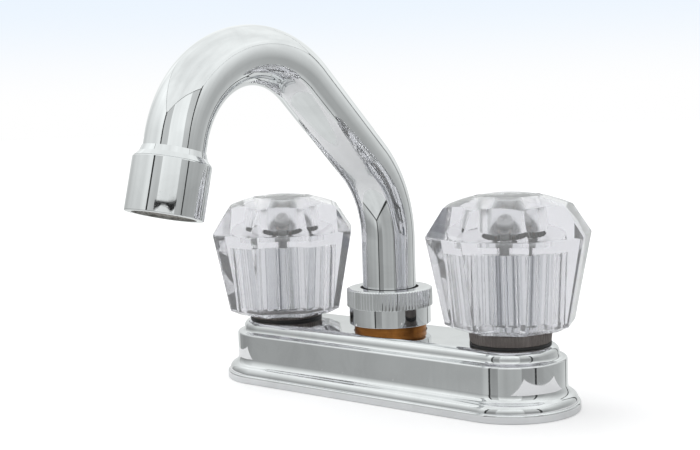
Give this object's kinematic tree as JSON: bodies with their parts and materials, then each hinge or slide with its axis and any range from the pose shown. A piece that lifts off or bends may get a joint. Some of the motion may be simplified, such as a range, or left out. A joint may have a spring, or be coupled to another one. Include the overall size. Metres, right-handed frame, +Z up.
{
  "type": "bathroom sink mixer",
  "caption": "Centre-set bathroom sink mixer with rising-stem compression valves, clear faceted knobs and a swivelling gooseneck spout on a chromed base.",
  "frame": {"origin": "centre of the base's underside, on the sink deck, midway between the two valves", "axes": "+Z up out of the sink deck, +X towards the cold handle, -Y towards the user and the spout's mouth"},
  "size_m": [0.1568, 0.1409, 0.1737],
  "materials": {
    "chrome": "polished",
    "clear_plastic": "clear and polished",
    "dark_plastic": "moulded, fine ribs",
    "black_plastic": "flat",
    "white_plastic": "smooth",
    "red_fibre": "pressed fibre",
    "black_rubber": "moulded",
    "brass": "machined, unplated",
    "copper": "drawn tube",
    "zinc_steel": "zinc plated",
    "stainless": "plain"
  },
  "bodies": {
    "root": {"base_cover": "chrome", "base_gasket": "black_rubber", "mounting_washers": "zinc_steel", "mounting_nuts": "brass", "valve_body_left": "brass", "valve_body_right": "brass", "crossover_tube_left": "copper", "crossover_tube_right": "copper", "valve_seat_left": "brass", "valve_seat_right": "brass", "ring_washer_left": "black_plastic", "ring_washer_right": "black_plastic", "lock_ring_left": "dark_plastic", "lock_ring_right": "dark_plastic", "bonnet_washer_left": "red_fibre", "bonnet_washer_right": "red_fibre", "bonnet_left": "chrome", "bonnet_right": "chrome", "outlet_body": "brass", "union_nut": "chrome", "union_washer": "white_plastic"},
    "spout": {"spout_tube": "chrome", "spout_collar": "brass", "spout_o_rings": "black_rubber", "spout_end_fitting": "chrome", "aerator_housing": "chrome", "aerator_washer": "black_rubber", "aerator_insert": "white_plastic", "aerator_screen": "stainless"},
    "left_jumper": {"washer_holder_left": "brass", "seat_washer_left": "black_rubber", "washer_screw_left": "brass"},
    "left_handle": {"stem_left": "brass", "stem_o_ring_left": "black_rubber", "knob_left": "clear_plastic", "knob_sleeve_left": "chrome", "index_cap_left": "clear_plastic", "handle_screw_left": "stainless"},
    "right_jumper": {"washer_holder_right": "brass", "seat_washer_right": "black_rubber", "washer_screw_right": "brass"},
    "right_handle": {"stem_right": "brass", "stem_o_ring_right": "black_rubber", "knob_right": "clear_plastic", "knob_sleeve_right": "chrome", "index_cap_right": "clear_plastic", "handle_screw_right": "stainless"}
  },
  "joints": [
    {"name": "spout_swivel", "type": "hinge", "parent": "root", "child": "spout", "pos_m": [0, 0, 0.03], "axis": [0, 0, 1], "continuous": true},
    {"name": "left_lift", "type": "slide", "parent": "root", "child": "left_jumper", "axis": [0, 0, 1], "range_m": [0, 0.0035]},
    {"name": "left_turn", "type": "hinge", "parent": "left_jumper", "child": "left_handle", "pos_m": [-0.0508, 0, 0.03], "axis": [0, 0, 1], "range_deg": [0, 630]},
    {"name": "right_lift", "type": "slide", "parent": "root", "child": "right_jumper", "axis": [0, 0, 1], "range_m": [-0.003, 0.0005]},
    {"name": "right_turn", "type": "hinge", "parent": "right_jumper", "child": "right_handle", "pos_m": [0.0508, 0, 0.03], "axis": [0, 0, 1], "range_deg": [-540, 90]}
  ],
  "couplings": [
    {"joint": "left_turn", "follows": "left_lift", "rad_per_m": 3141.6},
    {"joint": "right_turn", "follows": "right_lift", "rad_per_m": 3141.6}
  ]
}
